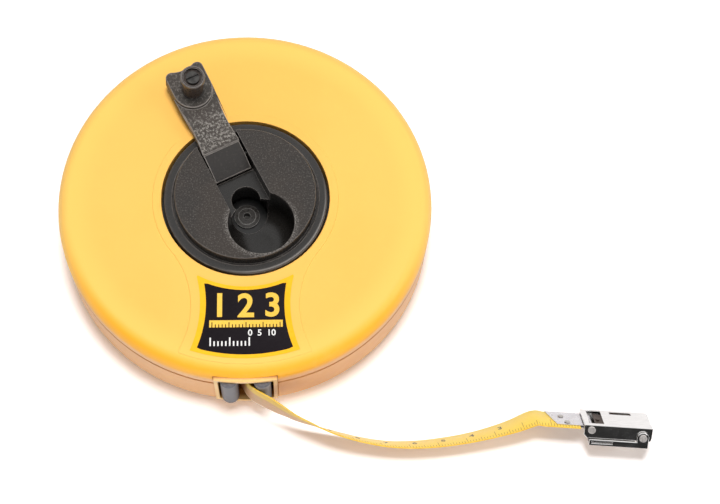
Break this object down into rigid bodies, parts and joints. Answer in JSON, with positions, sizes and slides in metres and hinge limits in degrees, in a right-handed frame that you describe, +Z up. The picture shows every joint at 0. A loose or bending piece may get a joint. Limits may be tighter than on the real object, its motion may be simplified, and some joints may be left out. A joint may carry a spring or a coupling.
{
  "type": "reel tape measure",
  "caption": "Round yellow surveyor's tape on a crank reel, crank folded out, with the tape's end and its folding metal hook drawn out beside it.",
  "frame": {"origin": "centre of the case's back face", "axes": "+Z up through the winding disc; the tape leaves the case at -Y and its hook lies towards +X"},
  "size_m": [0.2039, 0.1517, 0.0522],
  "materials": {
    "case_yellow": "satin moulded plastic",
    "frame_yellow": "satin moulded plastic",
    "label_black": "printed gloss label",
    "roller_grey": "matt",
    "washer_white": "matt",
    "disc_black": "grained satin",
    "arm_grey": "coarse grained",
    "reel_black": "smooth",
    "tape_yellow": "coated glass fibre, satin",
    "tip_metal": "polished",
    "hook_chrome": "polished",
    "pin_steel": "turned",
    "screw_steel": "zinc plated",
    "dark_screw": "blackened",
    "spring_steel": "dark spring temper"
  },
  "bodies": {
    "case": {"rear_case": "case_yellow", "front_case": "case_yellow", "case_screws": "screw_steel", "label_plate": "label_black", "mouth_frame": "frame_yellow", "roller_pins": "pin_steel", "thrust_washer": "washer_white", "retaining_plug": "disc_black", "tape_strip": "tape_yellow", "tip_plate": "tip_metal", "tip_rivets": "pin_steel"},
    "roller_left": {"guide_roller_left": "roller_grey"},
    "roller_right": {"guide_roller_right": "roller_grey"},
    "reel": {"reel_hub": "reel_black", "reel_flange": "reel_black", "tape_coil": "tape_yellow", "tape_anchor_pin": "pin_steel", "winding_disc": "disc_black", "disc_screws": "screw_steel", "crank_hinge_pin": "pin_steel"},
    "crank": {"crank_arm": "arm_grey", "knob_screw": "dark_screw"},
    "knob": {"crank_knob": "disc_black"},
    "hook": {"hook_body": "hook_chrome", "hook_pin": "pin_steel", "claw_spring": "spring_steel", "claw_pin": "pin_steel"},
    "claw": {"hook_claw": "hook_chrome"}
  },
  "joints": [
    {"name": "reel_spin", "type": "hinge", "parent": "case", "child": "reel", "pos_m": [0, 0, 0.012], "axis": [0, 0, 1], "continuous": true},
    {"name": "crank_fold", "type": "hinge", "parent": "reel", "child": "crank", "pos_m": [-0.00645, 0.0131, 0.0315], "axis": [0.8973, 0.4415, 0], "range_deg": [0, 170.7]},
    {"name": "knob_spin", "type": "hinge", "parent": "crank", "child": "knob", "pos_m": [-0.01838, 0.03735, 0.03973], "axis": [0.0713, -0.145, 0.9869], "continuous": true},
    {"name": "roller_left_spin", "type": "hinge", "parent": "case", "child": "roller_left", "pos_m": [-0.0056, -0.0643, 0.01615], "axis": [0, 0, 1], "continuous": true},
    {"name": "roller_right_spin", "type": "hinge", "parent": "case", "child": "roller_right", "pos_m": [0.0056, -0.0643, 0.01615], "axis": [0, 0, 1], "continuous": true},
    {"name": "hook_swing", "type": "hinge", "parent": "case", "child": "hook", "pos_m": [0.11775, -0.0763, 0.0096], "axis": [0.0509, 0.6327, -0.7727], "range_deg": [-8, 75]},
    {"name": "claw_fold", "type": "hinge", "parent": "hook", "child": "claw", "pos_m": [0.1352, -0.07887, 0.00865], "axis": [0.0509, 0.6327, -0.7727], "range_deg": [-120, 0]}
  ]
}
